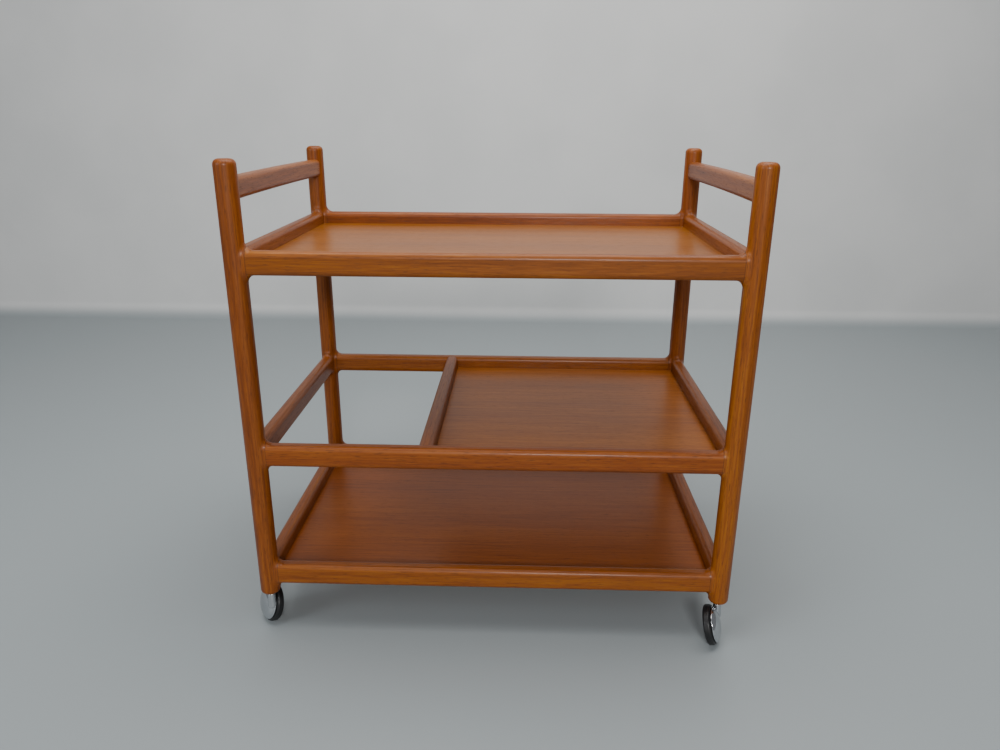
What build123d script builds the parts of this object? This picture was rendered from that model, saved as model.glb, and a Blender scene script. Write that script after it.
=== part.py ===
from build123d import *
import math
import os

os.makedirs("parts", exist_ok=True)

# Serving trolley in teak on four ball casters. Millimetres, +Z up, floor at z = 0,
# origin midway between the four posts, front towards -Y.

# frame sizes
post_span_x = 718.0
post_span_y = 455.0
post_dia = 31.0
post_head = 122.5
post_stub = 19.5
post_top_round = 8.0
post_foot_round = 6.5
upper_gap = 258.0
lower_gap = 172.0
rail_height = 34.0
rail_thick = 23.0
rail_round = 8.0

# joints between posts and rails
cove_radius = 12.5
cove_margin = 0.5
joint_beyond_post = 2.0
flare_margin = 2.0
dowel_dia = 10.0
dowel_length = 36.0
dowel_into_post = 12.0
dowel_offset = 7.0
dowel_chamfer = 0.8

# shelves
panel_drop = 21.0
panel_thick = 9.0
tongue_thick = 5.0
groove_depth = 6.0
bay_width = 234.0

# end handles
handle_height = 31.0
handle_thick = 22.0
handle_round = 7.0
handle_drop = 24.5
handle_bow = 5.0
housing_depth = 5.5
tenon_dia = 14.0
tenon_length = 14.0

# casters
caster_height = 64.5
wheel_radius = 31.4
tyre_width = 11.5
tyre_depth = 10.5
tyre_round = 3.8
wheel_lean = 17.0
wheel_trail = 18.3
wheel_shift = 7.2
hub_radius = 8.0
hub_proud = 0.2
web_thick = 4.0
disc_rim_thick = 3.0
disc_rim_inset = 0.5
axle_dia = 6.0
axle_head_dia = 12.0
axle_head_thick = 2.0
axle_head_round = 1.5
axle_seat = 8.0
hood_radius = 26.4
hood_depth = 10.0
hood_wall = 1.6
hood_bead = 1.2
hood_bead_round = 1.1
boss_inset = 1.0
neck_dia = 12.0
neck_sink = 8.0
neck_root_dia = 15.0
stem_dia = 8.0
stem_length = 19.0
stem_seat = 9.0
stem_chamfer = 1.2
collar_dia = 11.0
collar_thick = 2.6
socket_dia = 11.0
socket_flange_dia = 16.0
socket_flange_thick = 1.5
socket_length = 22.0
socket_cap = 1.0

# how far each caster has turned about its stem, degrees
caster_turns = {"front_right": -17.5, "front_left": 221.0, "rear_left": 162.5, "rear_right": 41.0}

# clearances
fit_gap = 0.1
glue_gap = 0.05
notch_gap = 0.15
groove_gap = 0.15
edge_gap = 0.45
end_gap = 1.0
running_gap = 0.05
side_gap = 0.8
swivel_gap = 0.4

# stock left on before trimming, the length of a cut that runs right through, and a rounding error
spare = 6.0
through = 100.0
hair = 0.01

# derived heights of the rails' upper edges
lower_top = caster_height + post_stub + rail_height
middle_top = lower_top + lower_gap + rail_height
upper_top = middle_top + upper_gap + rail_height
post_top = upper_top + post_head
post_length = post_top - caster_height
post_radius = post_dia / 2
housing_from_axis = post_radius - housing_depth
half_x = post_span_x / 2
half_y = post_span_y / 2
half_thick = rail_thick / 2
joint_reach = post_radius + joint_beyond_post
flare_reach = post_radius + cove_radius + flare_margin
levels = {"lower": lower_top, "middle": middle_top, "upper": upper_top}
corners = {
    "front_left": (-1, -1),
    "front_right": (1, -1),
    "rear_left": (-1, 1),
    "rear_right": (1, 1),
}


def block(x0, x1, y0, y1, z0, z1):
    centre = ((x0 + x1) / 2, (y0 + y1) / 2, (z0 + z1) / 2)
    return Pos(*centre) * Box(abs(x1 - x0), abs(y1 - y0), abs(z1 - z0))


def rod_along(point, direction, radius, length):
    base = Plane(origin=point, z_dir=direction)
    return base * Cylinder(radius, length, align=(Align.CENTER, Align.CENTER, Align.MIN))


def rail_bar(x0, x1, thick=rail_thick, height=rail_height, rounding=rail_round):
    # a bar along +X with rounded long edges, centred on the X axis
    profile = Plane.YZ * RectangleRounded(thick, height, rounding)
    return Pos(x0, 0, 0) * extrude(profile, x1 - x0)


def knuckle():
    # where one rail grows out of a post: coved all round, rail centre at z = 0
    body = Cylinder(post_radius, 2 * (cove_reach + spare)) + rail_bar(0, flare_reach + spare)
    loop = []
    for edge in body.edges():
        point = edge.position_at(0.5)
        on_shaft = abs(math.hypot(point.X, point.Y) - post_radius) < hair
        if on_shaft and point.X > 0 and abs(point.Z) < cove_reach:
            loop.append(edge)
    return fillet(loop, cove_radius)


def knuckle_slice(x0, x1):
    side = post_radius + cove_radius
    return joint_shape & block(x0, x1, -side, side, -cove_reach, cove_reach)


# the post keeps the ear, and the rail is shaped to meet it at the joint line
cove_reach = rail_height / 2 + cove_radius + cove_margin
joint_shape = knuckle()
ear = knuckle_slice(0, joint_reach)
rail_end = knuckle_slice(joint_reach, flare_reach)


def dowel_spot(along_x):
    # dowels running side to side sit above the rail's middle, the others below it
    return dowel_offset if along_x else -dowel_offset


def full_rail(span, along_x):
    # a rail along X between two joint planes, centred on the origin
    near = span / 2
    body = rail_bar(-near + flare_reach, near - flare_reach)
    body += Pos(-near, 0, 0) * rail_end
    body += Pos(near, 0, 0) * Rot(0, 0, 180) * rail_end
    depth = dowel_length - dowel_into_post - (joint_reach - post_radius) + end_gap
    for side in (-1, 1):
        spot = (side * (near - joint_reach), 0, dowel_spot(along_x))
        body -= rod_along(spot, (-side, 0, 0), dowel_dia / 2 + glue_gap, depth)
    return body


# a panel's plate stops clear of the rails and of the coves, and its tongue goes into the grooves
shoulder = (panel_thick - tongue_thick) / 2
cove_end = math.sqrt((post_radius + cove_radius) ** 2 - (half_thick + cove_radius) ** 2)
corner_swell = half_thick + cove_radius - math.sqrt(cove_radius**2 - (cove_end - half_thick) ** 2)
plate_clear = corner_swell + notch_gap
tongue_reach = groove_depth - edge_gap


def groove(length):
    # slot for a panel's tongue on the +Y side of a rail lying along X
    upper = rail_height / 2 - panel_drop - shoulder + groove_gap
    lower = upper - tongue_thick - 2 * groove_gap
    return block(-length / 2, length / 2, half_thick - groove_depth, half_thick + through, lower, upper)


def cross_rail(front, grooved, top):
    # front or rear rail
    body = full_rail(post_span_x, True)
    if grooved:
        body -= grooved
    if front:
        return Pos(0, -half_y, top - rail_height / 2) * body
    return Pos(0, half_y, top - rail_height / 2) * Rot(0, 0, 180) * body


def side_rail(side, grooved, top):
    body = full_rail(post_span_y, False)
    if grooved:
        body -= groove(post_span_y)
    turn = -90 if side < 0 else 90
    return Pos(side * half_x, 0, top - rail_height / 2) * Rot(0, 0, turn) * body


def handle_bar(side, margin, reach):
    # board that bows a little outwards between two posts, cut off square at each end
    path = ThreePointArc((0, -half_y, 0), (side * handle_bow, 0, 0), (0, half_y, 0))
    start = Plane(origin=(0, -half_y, 0), x_dir=(1, 0, 0), z_dir=path % 0)
    section = RectangleRounded(
        handle_thick + 2 * margin, handle_height + 2 * margin, handle_round + margin
    )
    return sweep(start * section, path) & block(-through, through, -reach, reach, -through, through)


def corner_post():
    # the front left post on its own axis: coved ears towards +X and +Y where rails meet it
    shaft = Pos(0, 0, caster_height) * Cylinder(
        post_radius, post_length, align=(Align.CENTER, Align.CENTER, Align.MIN)
    )
    ends = shaft.edges().filter_by(GeomType.CIRCLE).sort_by(Axis.Z)
    body = fillet(ends[-1], post_top_round)
    ends = body.edges().filter_by(GeomType.CIRCLE).sort_by(Axis.Z)
    body = fillet(ends[0], post_foot_round)
    start = post_radius - dowel_into_post - end_gap
    for top in levels.values():
        centre = top - rail_height / 2
        body += Pos(0, 0, centre) * ear
        body += Pos(0, 0, centre) * Rot(0, 0, 90) * ear
    for top in levels.values():
        centre = top - rail_height / 2
        over = (start, 0, centre + dowel_spot(True))
        under = (0, start, centre + dowel_spot(False))
        body -= rod_along(over, (1, 0, 0), dowel_dia / 2 + glue_gap, through)
        body -= rod_along(under, (0, 1, 0), dowel_dia / 2 + glue_gap, through)
    bore_z = post_top - handle_drop - handle_height / 2
    bore = post_radius - tenon_length - end_gap
    body -= rod_along((0, bore, bore_z), (0, 1, 0), tenon_dia / 2 + glue_gap, through)
    pocket = handle_bar(-1, fit_gap, half_y - housing_from_axis + fit_gap)
    body -= Pos(0, half_y, bore_z) * pocket
    mouth = (0, 0, caster_height - end_gap)
    body -= rod_along(mouth, (0, 0, 1), socket_dia / 2 + glue_gap, socket_length + 2 * end_gap)
    return Pos(-half_x, -half_y, 0) * body


def panel(x0, x1, notches, top):
    # x0 and x1 are the tongue's ends; the tongue is notched round the posts' ears
    edge_y = half_y - half_thick + tongue_reach
    upper = top - panel_drop
    lower = upper - panel_thick
    body = block(x0, x1, -edge_y, edge_y, lower + shoulder, upper - shoulder)
    far = joint_reach + notch_gap
    for sx, sy in notches:
        px = sx * half_x
        py = sy * half_y
        for a, b in ((far, plate_clear), (plate_clear, far)):
            body -= block(px - sx * a, px + sx * through, py - sy * b, py + sy * through, lower, upper)
    inset = plate_clear - half_thick + tongue_reach
    return body + block(x0 + inset, x1 - inset, -edge_y + inset, edge_y - inset, lower, upper)


def dowels(top):
    # every dowel of one level, as separate solids
    centre = top - rail_height / 2
    pins = []
    start = post_radius - dowel_into_post
    for sx, sy in corners.values():
        for along_x, direction in ((True, (-sx, 0, 0)), (False, (0, -sy, 0))):
            spot = (
                sx * half_x + direction[0] * start,
                sy * half_y + direction[1] * start,
                centre + dowel_spot(along_x),
            )
            pin = rod_along(spot, direction, dowel_dia / 2, dowel_length)
            pins.append(chamfer(pin.edges().filter_by(GeomType.CIRCLE), dowel_chamfer))
    return pins


def handle(side):
    reach = half_y - housing_from_axis
    body = handle_bar(side, 0, reach)
    for sy in (-1, 1):
        inner = half_y - (post_radius - tenon_length)
        body += rod_along((0, sy * inner, 0), (0, -sy, 0), tenon_dia / 2, tenon_length - end_gap)
    return Pos(side * half_x, 0, post_top - handle_drop - handle_height / 2) * body


# caster: swivel axis on the local Z axis, floor at z = 0, hood towards +X, trailing to -Y
lean = math.radians(wheel_lean)
crown = wheel_radius - tyre_round
wheel_rise = (
    crown * math.cos(lean) + (tyre_width / 2 - tyre_round) * math.sin(lean) + tyre_round
)
wheel_centre = (-wheel_shift, -wheel_trail, wheel_rise)
wheel_axis = (math.cos(lean), 0, math.sin(lean))
wheel_plane = Plane(origin=wheel_centre, x_dir=(-math.sin(lean), 0, math.cos(lean)), z_dir=wheel_axis)
rim_level = tyre_width / 2 + side_gap
hub_face = tyre_width / 2 + hub_proud
neck_top = caster_height - socket_flange_thick - swivel_gap - collar_thick


def tyre():
    inner = wheel_radius - tyre_depth
    band = Plane.XZ * Pos(inner + tyre_depth / 2, 0) * Rectangle(tyre_depth, tyre_width)
    ring = revolve(band, Axis.Z)
    rims = [e for e in ring.edges().filter_by(GeomType.CIRCLE) if e.radius > wheel_radius - hair]
    return wheel_plane * fillet(rims, tyre_round)


def wheel_disc():
    outer = wheel_radius - tyre_depth - fit_gap
    disc = Cylinder(outer, web_thick)
    disc += Cylinder(outer, tyre_width - 2 * disc_rim_inset) - Cylinder(outer - disc_rim_thick, tyre_width)
    disc += Cylinder(hub_radius, 2 * hub_face)
    disc -= Cylinder(axle_dia / 2 + running_gap, through)
    return wheel_plane * disc


def hood():
    # domed shell over one side of the wheel, with the neck that holds the stem
    quarter = Pos(hood_radius, hood_depth) * Rectangle(2 * hood_radius, 2 * hood_depth)
    outer = Ellipse(hood_radius, hood_depth) & quarter
    inner = Ellipse(hood_radius - hood_wall, hood_depth - hood_wall) & quarter
    lip = Pos(hood_radius - hood_wall / 2, hood_bead) * RectangleRounded(
        hood_wall + 2 * hood_bead, 2 * hood_bead, hood_bead_round
    )
    boss_radius = hub_radius - boss_inset
    boss_low = hub_face - rim_level + side_gap / 2
    boss_high = hood_depth - hood_wall / 2
    boss = Pos(boss_radius / 2, (boss_low + boss_high) / 2) * Rectangle(boss_radius, boss_high - boss_low)
    profile = outer - inner + lip + boss
    shell = wheel_plane * Pos(0, 0, rim_level) * revolve(Plane.XZ * profile, Axis.Z)
    neck_low = wheel_rise + neck_sink
    neck = Pos(0, 0, neck_low) * Sphere(neck_root_dia / 2)
    neck += Pos(0, 0, neck_low) * Cone(
        neck_root_dia / 2, neck_dia / 2, neck_top - neck_low, align=(Align.CENTER, Align.CENTER, Align.MIN)
    )
    open_level = rim_level + hood_bead - through / 2
    open_side = wheel_plane * Pos(0, 0, open_level) * Box(through, through, through)
    body = shell + (neck - open_side)
    body -= Pos(0, 0, neck_top - stem_seat) * Cylinder(
        stem_dia / 2 + glue_gap, through, align=(Align.CENTER, Align.CENTER, Align.MIN)
    )
    bore = wheel_plane * Cylinder(
        axle_dia / 2 + glue_gap,
        rim_level + axle_seat + end_gap,
        align=(Align.CENTER, Align.CENTER, Align.MIN),
    )
    return body - bore


def axle():
    head = -(hub_face + side_gap / 2)
    pin = Pos(0, 0, head) * Cylinder(
        axle_dia / 2, rim_level + axle_seat - head, align=(Align.CENTER, Align.CENTER, Align.MIN)
    )
    cap = Pos(0, 0, head - axle_head_thick) * Cylinder(
        axle_head_dia / 2, axle_head_thick, align=(Align.CENTER, Align.CENTER, Align.MIN)
    )
    rim = cap.edges().filter_by(GeomType.CIRCLE).sort_by(Axis.Z)[0]
    return wheel_plane * (pin + fillet(rim, axle_head_round))


def stem():
    top = caster_height + stem_length
    low = neck_top - stem_seat + fit_gap
    body = Pos(0, 0, low) * Cylinder(
        stem_dia / 2, top - low, align=(Align.CENTER, Align.CENTER, Align.MIN)
    )
    body = chamfer(body.edges().filter_by(GeomType.CIRCLE).sort_by(Axis.Z)[-1], stem_chamfer)
    collar = Pos(0, 0, neck_top) * Cylinder(
        collar_dia / 2, collar_thick, align=(Align.CENTER, Align.CENTER, Align.MIN)
    )
    return body + collar


def socket():
    flange = Pos(0, 0, caster_height - socket_flange_thick) * Cylinder(
        socket_flange_dia / 2, socket_flange_thick, align=(Align.CENTER, Align.CENTER, Align.MIN)
    )
    tube = Pos(0, 0, caster_height - socket_flange_thick) * Cylinder(
        socket_dia / 2, socket_length + socket_flange_thick, align=(Align.CENTER, Align.CENTER, Align.MIN)
    )
    bore = Pos(0, 0, caster_height - spare) * Cylinder(
        stem_dia / 2 + running_gap,
        spare + socket_length - socket_cap,
        align=(Align.CENTER, Align.CENTER, Align.MIN),
    )
    return flange + tube - bore


pieces = {}

first_post = corner_post()
for name, (sx, sy) in corners.items():
    shape = first_post if sx < 0 else mirror(first_post, about=Plane.YZ)
    pieces["post_" + name] = shape if sy < 0 else mirror(shape, about=Plane.XZ)

# the middle shelf is open at the left, so its front and rear rails are grooved only beside the panel
divider_x = -half_x + half_thick + bay_width + half_thick
right_run = half_x - divider_x
short_groove = Pos((divider_x + half_x) / 2, 0, 0) * groove(right_run)
long_groove = groove(post_span_x)
for level, top in levels.items():
    front_slot = short_groove if level == "middle" else long_groove
    rear_slot = Pos(-(divider_x + half_x), 0, 0) * short_groove if level == "middle" else long_groove
    pieces["rail_" + level + "_front"] = cross_rail(True, front_slot, top)
    pieces["rail_" + level + "_rear"] = cross_rail(False, rear_slot, top)
    pieces["rail_" + level + "_left"] = side_rail(-1, level != "middle", top)
    pieces["rail_" + level + "_right"] = side_rail(1, True, top)
    pieces["dowels_" + level] = Compound(children=dowels(top))

# divider between the bottle bay and the middle panel, its ends scribed to the rails
divider = Rot(0, 0, 90) * rail_bar(-half_y, half_y)
for sy in (-1, 1):
    mate_thick = rail_thick + 2 * fit_gap
    mate_height = rail_height + 2 * fit_gap
    mate = rail_bar(-through, through, mate_thick, mate_height, rail_round + fit_gap)
    divider -= Pos(0, sy * half_y, 0) * mate
    outer = sy * (half_y - half_thick + rail_round)
    divider -= block(-through, through, sy * half_y, outer, -through, through)
divider -= Rot(0, 0, -90) * groove(post_span_y)
pieces["divider"] = Pos(divider_x, 0, middle_top - rail_height / 2) * divider

edge_x = half_x - half_thick + tongue_reach
all_corners = list(corners.values())
right_corners = [c for c in all_corners if c[0] > 0]
pieces["panel_upper"] = panel(-edge_x, edge_x, all_corners, upper_top)
pieces["panel_lower"] = panel(-edge_x, edge_x, all_corners, lower_top)
divider_edge = divider_x + half_thick - tongue_reach
pieces["panel_middle"] = panel(divider_edge, edge_x, right_corners, middle_top)

pieces["handle_left"] = handle(-1)
pieces["handle_right"] = handle(1)

for name, (sx, sy) in corners.items():
    place = Pos(sx * half_x, sy * half_y, 0)
    turned = place * Rot(0, 0, caster_turns[name])
    pieces["socket_" + name] = place * socket()
    pieces["stem_" + name] = turned * stem()
    pieces["hood_" + name] = turned * hood()
    pieces["axle_" + name] = turned * axle()
    pieces["wheel_" + name] = turned * wheel_disc()
    pieces["tyre_" + name] = turned * tyre()

for name, shape in pieces.items():
    export_step(shape, "parts/" + name + ".step")
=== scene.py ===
import math
import zlib

import bmesh
import bpy
from mathutils import Matrix, Vector


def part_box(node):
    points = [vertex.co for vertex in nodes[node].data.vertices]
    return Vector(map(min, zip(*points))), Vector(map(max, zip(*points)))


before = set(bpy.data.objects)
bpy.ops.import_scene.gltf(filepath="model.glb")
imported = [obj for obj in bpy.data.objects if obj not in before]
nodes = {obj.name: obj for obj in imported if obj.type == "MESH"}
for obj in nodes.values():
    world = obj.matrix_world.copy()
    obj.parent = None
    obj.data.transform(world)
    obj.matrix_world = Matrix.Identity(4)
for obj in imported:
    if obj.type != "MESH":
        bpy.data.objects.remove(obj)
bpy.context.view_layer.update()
print("frame loaded:", len(nodes), "pieces")


# a wire is a shader socket that can be used in plain sums

class Wire:
    def __init__(self, finish, socket):
        self.finish = finish
        self.socket = socket

    def sum(self, operation, first, second):
        return self.finish.add("ShaderNodeMath", {"operation": operation}, {0: first, 1: second})

    def __add__(self, other):
        return self.sum("ADD", self, other)

    def __radd__(self, other):
        return self.sum("ADD", other, self)

    def __sub__(self, other):
        return self.sum("SUBTRACT", self, other)

    def __rsub__(self, other):
        return self.sum("SUBTRACT", other, self)

    def __mul__(self, other):
        return self.sum("MULTIPLY", self, other)

    def __rmul__(self, other):
        return self.sum("MULTIPLY", other, self)

    def __truediv__(self, other):
        return self.sum("DIVIDE", self, other)

    def __pow__(self, other):
        return self.sum("POWER", self, other)

    def least(self, other):
        return self.sum("MINIMUM", self, other)

    def size(self):
        return self.sum("ABSOLUTE", self, 0)

    def fraction(self):
        return self.sum("FRACT", self, 0)

    def rise(self, low, high):  # 0 below low, 1 above high, smooth between
        return self.finish.add("ShaderNodeMapRange", {"interpolation_type": "SMOOTHSTEP"},
                               {"Value": self, "From Min": low, "From Max": high})


class Finish:
    def __init__(self, name):
        self.material = bpy.data.materials.new(name)
        self.material.use_nodes = True
        self.tree = self.material.node_tree
        self.tree.nodes.clear()

    def add(self, kind, settings=None, sockets=None, out=0):
        node = self.tree.nodes.new(kind)
        for key, value in (settings or {}).items():
            if key == "stops":
                while len(node.color_ramp.elements) < len(value):
                    node.color_ramp.elements.new(0.5)
                for stop, (place, colour) in zip(node.color_ramp.elements, value):
                    stop.position = place
                    stop.color = (*colour, 1)
            else:
                setattr(node, key, value)
        for key, value in (sockets or {}).items():
            if isinstance(value, Wire):
                self.tree.links.new(value.socket, node.inputs[key])
            else:
                node.inputs[key].default_value = value
        return Wire(self, node.outputs[out])

    def place(self):
        # the three coordinates of the surface point, in metres, fixed to the piece
        spot = self.add("ShaderNodeTexCoord", out=3)
        return [self.add("ShaderNodeSeparateXYZ", None, {0: spot}, out=i) for i in range(3)]

    def point(self, x, y, z):
        return self.add("ShaderNodeCombineXYZ", None, {0: x, 1: y, 2: z})

    def noise(self, vector, scale=1.0, detail=2.0, roughness=0.5):
        return self.add("ShaderNodeTexNoise", None,
                        {"Vector": vector, "Scale": scale, "Detail": detail, "Roughness": roughness})

    def mix(self, factor, first, second, blend="MIX"):
        def colour(value):
            return value if isinstance(value, Wire) else (*value, 1)
        return self.add("ShaderNodeMix", {"data_type": "RGBA", "blend_type": blend, "clamp_factor": True},
                        {0: factor, 6: colour(first), 7: colour(second)}, out=2)

    def ramp(self, factor, stops):
        return self.add("ShaderNodeValToRGB", {"stops": stops}, {0: factor})

    def bump(self, height, strength, distance):
        return self.add("ShaderNodeBump", None,
                        {"Height": height, "Strength": strength, "Distance": distance})

    def close(self, **sockets):
        # plain numbers are set on the shader, wires are linked to it
        named = {key.replace("_", " "): value for key, value in sockets.items()}
        for key, value in named.items():
            if isinstance(value, tuple) and len(value) == 3:
                named[key] = (*value, 1)
        shader = self.add("ShaderNodeBsdfPrincipled", None, named)
        end = self.tree.nodes.new("ShaderNodeOutputMaterial")
        self.tree.links.new(shader.socket, end.inputs["Surface"])
        return self.material


def dress(node, material):
    piece = nodes[node]
    piece.data.materials.clear()
    piece.data.materials.append(material)
    for face in piece.data.polygons:
        face.use_smooth = True


chanceSteps = 10007


def chance(name, salt):
    # a number between 0 and 1 that is the same each run for a piece's name
    return zlib.crc32((name + salt).encode()) % chanceSteps / chanceSteps


# camera and room

camera = {
    "place": (0.0406, -1.2535, 0.7926),
    "lens": 27.04,
    "sensor": 36,
    "nearest": 0.01,   # nothing closer than this is seen
    "turn": -1.70,     # degrees to the right
    "tilt": 18.98,     # degrees down
    "roll": 0.29,
}


def setCamera():
    turn, tilt, roll = (math.radians(camera[k]) for k in ("turn", "tilt", "roll"))
    ahead = Vector((math.sin(turn) * math.cos(tilt), math.cos(turn) * math.cos(tilt), -math.sin(tilt)))
    right = Vector((math.cos(turn), -math.sin(turn), 0))
    up = right.cross(ahead)
    side = right * math.cos(roll) + up * math.sin(roll)
    top = up * math.cos(roll) - right * math.sin(roll)
    data = bpy.data.cameras.new("camera")
    data.lens = camera["lens"]
    data.sensor_width = camera["sensor"]
    data.clip_start = camera["nearest"]
    eye = bpy.data.objects.new("camera", data)
    eye.matrix_world = Matrix((
        (side.x, top.x, -ahead.x, camera["place"][0]),
        (side.y, top.y, -ahead.y, camera["place"][1]),
        (side.z, top.z, -ahead.z, camera["place"][2]),
        (0, 0, 0, 1)))
    bpy.context.collection.objects.link(eye)
    bpy.context.scene.camera = eye


room = {
    "floorColour": (0.300, 0.335, 0.350),
    "wallColour": (0.70, 0.705, 0.70),
    "patchColour": (0.30, 0.33, 0.34),
    "patchScale": 3.0,        # turns per metre
    "patchDetail": 4.0,
    "patchCut": (0.3, 0.7),
    "patchShow": 0.12,
    "colourChange": (0.0, 0.05),   # heights between which the floor's colour turns into the wall's
    "rough": 0.6,
    "wallAway": 1.75,         # from the cart's middle to the wall behind it
    "wallHeight": 4.0,
    "floorFront": -5.0,
    "halfWidth": 6.0,
    "bend": 0.06,             # radius between floor and wall
    "bendSteps": 8,
    "skyColour": (0.93, 0.96, 1.0),
    "skyStrength": 0.22,
}

lamps = {
    "ceiling": {"place": (0.1, 0.1, 2.5), "aim": (0.0, 0.3, 0.0), "size": (2.6, 1.6),
                "power": 62, "colour": (1.0, 0.98, 0.95)},
    "window": {"place": (-2.5, -1.9, 1.6), "aim": (0.0, 0.1, 0.4), "size": (1.2, 1.4),
               "power": 26, "colour": (0.95, 0.98, 1.0)},
    "front": {"place": (0.30, -2.7, 1.45), "aim": (0.0, 0.0, 0.35), "size": (0.6, 0.4),
              "power": 40, "colour": (1.0, 0.98, 0.96)},
}


def roomFinish():
    paint = Finish("studioPaint")
    x, y, z = paint.place()
    patch = paint.noise(paint.point(x, y, z), room["patchScale"], room["patchDetail"])
    base = paint.mix(z.rise(*room["colourChange"]), room["floorColour"], room["wallColour"])
    tone = paint.mix(patch.rise(*room["patchCut"]) * room["patchShow"], base, room["patchColour"])
    return paint.close(Base_Color=tone, Roughness=room["rough"])


def setRoom():
    # floor and wall in one sheet, with a soft bend between them
    away, bend = room["wallAway"], room["bend"]
    rows = [(room["floorFront"], 0.0)]
    for i in range(room["bendSteps"] + 1):
        angle = math.pi / 2 * i / room["bendSteps"]
        rows.append((away - bend + bend * math.sin(angle), bend - bend * math.cos(angle)))
    rows.append((away, room["wallHeight"]))
    mesh = bmesh.new()
    lines = [[mesh.verts.new((x, y, z)) for x in (-room["halfWidth"], room["halfWidth"])] for y, z in rows]
    for low, high in zip(lines, lines[1:]):
        mesh.faces.new((low[0], low[1], high[1], high[0]))
    data = bpy.data.meshes.new("studio")
    mesh.to_mesh(data)
    mesh.free()
    sheet = bpy.data.objects.new("studio", data)
    bpy.context.collection.objects.link(sheet)
    for face in data.polygons:
        face.use_smooth = True
    data.materials.append(roomFinish())


def setLamps():
    world = bpy.data.worlds.new("sky")
    world.use_nodes = True
    sky = world.node_tree.nodes["Background"]
    sky.inputs["Color"].default_value = (*room["skyColour"], 1)
    sky.inputs["Strength"].default_value = room["skyStrength"]
    bpy.context.scene.world = world
    for name, look in lamps.items():
        data = bpy.data.lights.new(name, "AREA")
        data.shape = "RECTANGLE"
        data.size, data.size_y = look["size"]
        data.energy = look["power"]
        data.color = look["colour"]
        lamp = bpy.data.objects.new(name, data)
        lamp.location = look["place"]
        toAim = Vector(look["aim"]) - Vector(look["place"])
        lamp.rotation_euler = toAim.to_track_quat("-Z", "Y").to_euler()
        bpy.context.collection.objects.link(lamp)


setCamera()
setRoom()
setLamps()
print("camera, room and lamps set")


# teak

teak = {
    "dark": (0.122, 0.024, 0.0012),
    "body": (0.248, 0.060, 0.0028),
    "pale": (0.375, 0.118, 0.0090),
    "ringGap": 0.0046,      # metres from one growth ring to the next
    "ringShow": 0.10,
    "streakShow": 0.85,
    "fineShow": 1.05,
    "broadShow": 0.80,
    "fibreShow": 0.30,
    "poreShow": 0.55,
    "rough": 0.43,
    "gloss": 0.30,
    "coat": 0.11,
    "coatRough": 0.17,
    "jointLine": 0.0013,    # width of the dark seam at a rail's end, 0 for none
    "edgeWear": 0.25,
}

veneer = {
    "dark": (0.190, 0.044, 0.0025),
    "body": (0.310, 0.084, 0.0060),
    "pale": (0.420, 0.130, 0.0140),
    "ringGap": 0.0085,
    "ringShow": 0.10,
    "streakShow": 0.75,
    "fineShow": 1.00,
    "broadShow": 0.90,
    "fibreShow": 0.30,
    "poreShow": 0.50,
    "rough": 0.36,
    "gloss": 0.20,
    "coat": 0.09,
    "coatRough": 0.22,
    "jointLine": 0.0,
    "edgeWear": 0.0,
}

# boards that differ from the rest: how much of red, green and blue is left
boardTone = {
    "rail_upper_front": (1.02, 1.12, 1.25),
    "rail_middle_front": (0.93, 0.84, 0.75),
    "rail_lower_front": (1.00, 1.04, 1.00),
    "panel_upper": (0.82, 0.93, 0.90),
    "panel_middle": (1.15, 1.20, 1.08),
    "panel_lower": (0.90, 0.80, 0.70),
    "handle_left": (0.95, 0.98, 1.05),
    "handle_right": (0.97, 1.00, 1.05),
}

middle = 0.5    # the value that noise swings about

# noise drawn out along the grain: turns per metre along it, turns per metre across it, detail, roughness
figure = {
    "sway": (1.7, 3.0, 2.0, 0.5),      # the rings' slow wander
    "twist": (9.0, 22.0, 3.0, 0.5),    # the rings' small waves
    "broad": (1.1, 17.0, 2.0, 0.5),    # bands a few centimetres wide
    "streak": (2.2, 95.0, 4.0, 0.62),
    "fine": (15.0, 430.0, 3.0, 0.6),
    "fibre": (34.0, 1500.0, 2.0, 0.5),
    "pores": (62.0, 1150.0, 1.0, 0.5),
    "rub": (16.0, 60.0, 3.0, 0.5),
}

# where a mark starts to show and where it shows in full
cut = {
    "lateWood": (0.55, 0.98),
    "ringEnd": (0.985, 1.0),
    "pores": (0.60, 0.70),
    "corner": (0.45, 0.80),
    "rub": (0.35, 0.75),
}

board = {
    "seedSpread": 40,        # metres of noise that boards are cut from
    "leanSpread": 0.05,      # how far the rings may run out along a board
    "pithNear": (0.05, 0.03),
    "pithSpread": (0.07, 0.08),
    "veneerPithNear": 0.035,
    "veneerPithSpread": (0.2, 0.03),
    "swayReach": (0.05, 0.03),
    "twistReach": 1.6,
    "shadeLow": 0.92,
    "shadeSpread": 0.12,
    "warmSpread": 0.10,
    "seamColour": (0.035, 0.010, 0.003),
    "seamShow": 0.75,
    "poreDark": 0.35,
    "poreEven": 0.4,         # how much of the pores shows outside the broad bands
    "fibreRough": 0.10,
    "broadRough": 0.08,
    "poreRough": 0.1,
    "rubRough": 0.08,
    "fibreHeight": 0.5,
    "poreHeight": 0.7,
    "streakHeight": 0.3,
    "bumpStrength": 0.22,
    "bumpHeight": 0.0002,
}


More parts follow.
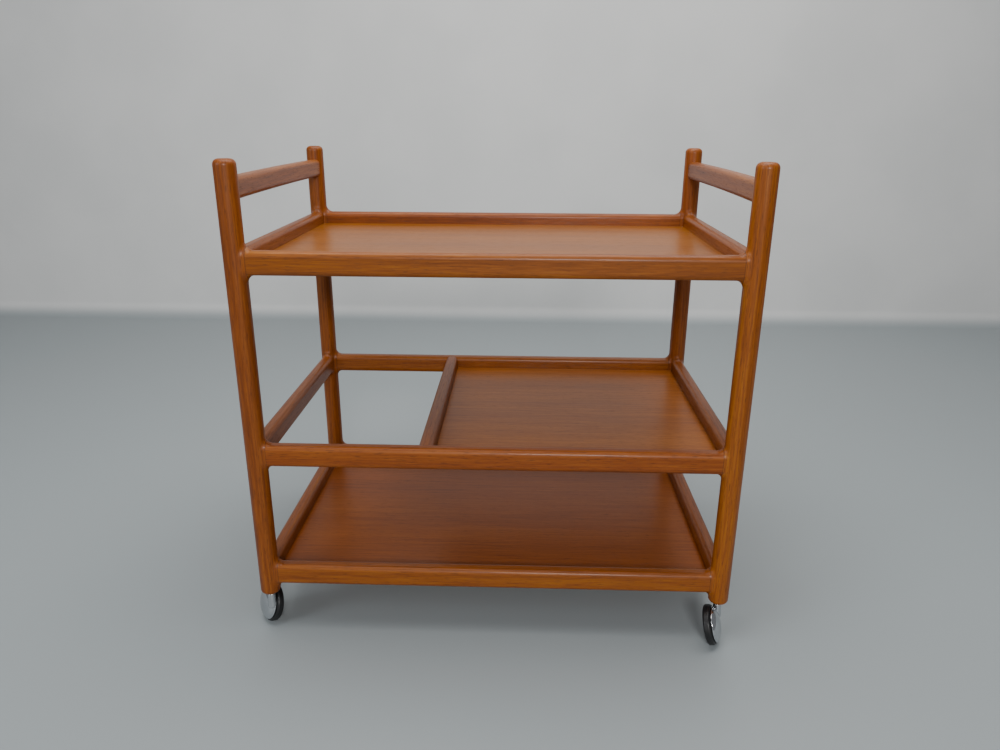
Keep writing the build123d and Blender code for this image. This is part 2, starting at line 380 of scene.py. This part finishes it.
def ringDistance(name, u, v, along, sway, lean, flat):
    # how far a point is from the tree's pith, which lies beside a solid board and under a veneer
    spread = board["veneerPithSpread"] if flat else board["pithSpread"]
    if flat:
        pithU = (chance(name, "pithU") - middle) * spread[0]
        pithV = board["veneerPithNear"] + spread[1] * chance(name, "pithV")
    else:
        pithU = board["pithNear"][0] + spread[0] * chance(name, "pithU")
        pithV = board["pithNear"][1] + spread[1] * chance(name, "pithV")
    ringU = u + pithU + sway * board["swayReach"][0] + along * lean
    ringV = v + pithV + sway * board["swayReach"][1]
    return (ringU * ringU + ringV * ringV) ** 0.5


def teakFinish(name, look, grain, flat=False):
    # growth rings, streaks and pores, drawn out along the grain axis
    lo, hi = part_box(name)
    wood = Finish(name + "Teak")
    here = wood.place()
    first, second = [i for i in range(3) if i != grain]
    along = here[grain]
    u = here[first] - (lo[first] + hi[first]) / 2
    v = here[second] - (lo[second] + hi[second]) / 2
    shift = board["seedSpread"] * chance(name, "shift")
    lean = (chance(name, "lean") - middle) * board["leanSpread"]

    def drawn(kind, push=(0, 0, 0)):
        far, wide, detail, roughness = figure[kind]
        spot = wood.point(along * far + push[0], u * wide + push[1], v * wide + push[2])
        return wood.noise(spot, 1.0, detail, roughness)

    sway = drawn("sway", (shift, 0, 0)) - middle
    twist = drawn("twist", (shift, 0, 0)) - middle
    out = ringDistance(name, u, v, along, sway, lean, flat)
    ring = (out / look["ringGap"] + twist * board["twistReach"]).fraction()
    late = ring.rise(*cut["lateWood"]) * (1 - ring.rise(*cut["ringEnd"]))
    streak = drawn("streak", (shift, shift, 0))
    fine = drawn("fine", (shift, 0, -shift))
    broad = drawn("broad", (-shift, 0, shift))
    fibre = drawn("fibre")
    pores = drawn("pores", (0, shift, 0)).rise(*cut["pores"])
    tone = (middle + (streak - middle) * look["streakShow"] + (fine - middle) * look["fineShow"]
            + (broad - middle) * look["broadShow"] + (fibre - middle) * look["fibreShow"]
            - late * look["ringShow"])
    colour = wood.ramp(tone, [(0.0, look["dark"]), (middle, look["body"]), (1.0, look["pale"])])
    poreColour = tuple(c * board["poreDark"] for c in look["dark"])
    colour = wood.mix(pores * look["poreShow"] * (board["poreEven"] + broad), colour, poreColour)
    shade = board["shadeLow"] + board["shadeSpread"] * chance(name, "tone")
    warm = 1 + board["warmSpread"] * (chance(name, "warm") - middle)
    own = boardTone.get(name, (shade, shade * warm, shade))
    colour = wood.mix(1.0, colour, own, "MULTIPLY")
    rough = (look["rough"] + (fibre - middle) * board["fibreRough"]
             + (broad - middle) * board["broadRough"] + pores * board["poreRough"])
    if look["jointLine"]:
        # a fine dark seam at the ends of each rail, and corners rubbed paler and duller by hands
        edge = (along - lo[grain]).least(hi[grain] - along)
        seam = 1 - edge.rise(0, look["jointLine"])
        colour = wood.mix(seam * board["seamShow"], colour, board["seamColour"])
        corner = (u.size() / ((hi[first] - lo[first]) / 2)) * (v.size() / ((hi[second] - lo[second]) / 2))
        rub = corner.rise(*cut["corner"]) * drawn("rub", (shift, 0, 0)).rise(*cut["rub"])
        colour = wood.mix(rub * look["edgeWear"], colour, look["pale"])
        rough = rough + rub * board["rubRough"]
    height = (fibre * board["fibreHeight"] + (1 - pores) * board["poreHeight"]
              + streak * board["streakHeight"])
    return wood.close(Base_Color=colour, Roughness=rough, Coat_Weight=look["coat"],
                      Coat_Roughness=look["coatRough"], Specular_IOR_Level=look["gloss"],
                      Normal=wood.bump(height, board["bumpStrength"], board["bumpHeight"]))


postLook = dict(teak, jointLine=0, ringShow=0.12, coat=0.07)

dowel = {
    "dark": (0.50, 0.33, 0.18),
    "pale": (0.66, 0.48, 0.30),
    "flecks": (300, 300, 1200),   # turns per metre along x, y and z
    "fleckDetail": 2.0,
    "fleckCut": (0.3, 0.7),
    "rough": 0.6,
}


def dowelFinish():
    beech = Finish("dowelBeech")
    spot = beech.point(*(way * turns for way, turns in zip(beech.place(), dowel["flecks"])))
    fleck = beech.noise(spot, 1.0, dowel["fleckDetail"])
    colour = beech.ramp(fleck.rise(*dowel["fleckCut"]), [(0.0, dowel["dark"]), (1.0, dowel["pale"])])
    return beech.close(Base_Color=colour, Roughness=dowel["rough"])


def woodPieces():
    for name in sorted(nodes):
        sideways = name.startswith("rail") and name.endswith(("left", "right"))
        if name.startswith("post"):
            dress(name, teakFinish(name, postLook, 2))
        elif sideways or name.startswith(("divider", "handle")):
            dress(name, teakFinish(name, teak, 1))
        elif name.startswith("rail"):
            dress(name, teakFinish(name, teak, 0))
        elif name.startswith("panel"):
            dress(name, teakFinish(name, veneer, 0, flat=True))
        elif name.startswith("dowels"):
            dress(name, dowelFinish())


woodPieces()
print("wood dressed")


# casters

chrome = {"colour": (0.60, 0.61, 0.63), "rough": 0.07, "smear": 0.12}
steel = {"colour": (0.42, 0.41, 0.39), "rough": 0.28, "smear": 0.20}

plating = {
    "cloudScale": 90.0,       # turns per metre
    "cloudDetail": 4.0,
    "speckScale": 900.0,
    "speckDetail": 2.0,
    "speckCut": (0.66, 0.76),
    "speckShow": 0.3,
    "speckRough": 0.2,
    "hazeCut": (0.35, 0.80),
    "hazeShow": 0.25,
    "hazeDark": 0.72,         # how much of the colour is left under haze
    "smearCut": (0.40, 0.80),
}

rubber = {
    "black": (0.005, 0.005, 0.006),
    "dust": (0.030, 0.029, 0.028),
    "rough": 0.42,
    "dustRough": 0.3,
    "cloud": (60.0, 5.0, 0.6),      # scale, detail and roughness of the dust
    "cloudCut": (0.45, 0.80),
    "cloudShow": 0.45,
    "scuff": (700.0, 3.0),
    "scuffCut": (0.55, 0.80),
    "scuffShow": 0.25,
    "bump": (0.2, 0.0002),
}

plastic = {
    "black": (0.014, 0.014, 0.015),
    "dust": (0.050, 0.048, 0.045),
    "cloud": (80.0, 3.0),
    "cloudCut": (0.40, 0.80),
    "cloudShow": 0.5,
    "grit": (1500.0, 2.0),
    "rough": 0.42,
    "gritRough": 0.15,
    "bump": (0.15, 0.0001),
}


def metalFinish(name, look):
    metal = Finish(name)
    spot = metal.point(*metal.place())
    cloud = metal.noise(spot, plating["cloudScale"], plating["cloudDetail"])
    speck = metal.noise(spot, plating["speckScale"], plating["speckDetail"]).rise(*plating["speckCut"])
    haze = cloud.rise(*plating["hazeCut"]) * plating["hazeShow"] + speck * plating["speckShow"]
    hazeColour = tuple(c * plating["hazeDark"] for c in look["colour"])
    rough = look["rough"] + cloud.rise(*plating["smearCut"]) * look["smear"] + speck * plating["speckRough"]
    return metal.close(Base_Color=metal.mix(haze, look["colour"], hazeColour), Metallic=1.0, Roughness=rough)


def rubberFinish():
    tread = Finish("tyreRubber")
    spot = tread.point(*tread.place())
    cloud = tread.noise(spot, *rubber["cloud"])
    scuff = tread.noise(spot, *rubber["scuff"])
    dust = (cloud.rise(*rubber["cloudCut"]) * rubber["cloudShow"]
            + scuff.rise(*rubber["scuffCut"]) * rubber["scuffShow"])
    return tread.close(Base_Color=tread.mix(dust, rubber["black"], rubber["dust"]),
                       Roughness=rubber["rough"] + dust * rubber["dustRough"],
                       Normal=tread.bump(scuff, *rubber["bump"]))


def plasticFinish():
    disc = Finish("wheelPlastic")
    spot = disc.point(*disc.place())
    grit = disc.noise(spot, *plastic["grit"])
    cloud = disc.noise(spot, *plastic["cloud"])
    dust = cloud.rise(*plastic["cloudCut"]) * plastic["cloudShow"]
    return disc.close(Base_Color=disc.mix(dust, plastic["black"], plastic["dust"]),
                      Roughness=plastic["rough"] + grit * plastic["gritRough"],
                      Normal=disc.bump(grit, *plastic["bump"]))


def casterPieces():
    bright = metalFinish("hoodChrome", chrome)
    grey = metalFinish("stemSteel", steel)
    tyre = rubberFinish()
    disc = plasticFinish()
    for name in nodes:
        if name.startswith(("hood", "axle")):
            dress(name, bright)
        elif name.startswith(("stem", "socket")):
            dress(name, grey)
        elif name.startswith("tyre"):
            dress(name, tyre)
        elif name.startswith("wheel"):
            dress(name, disc)


casterPieces()
print("casters dressed")
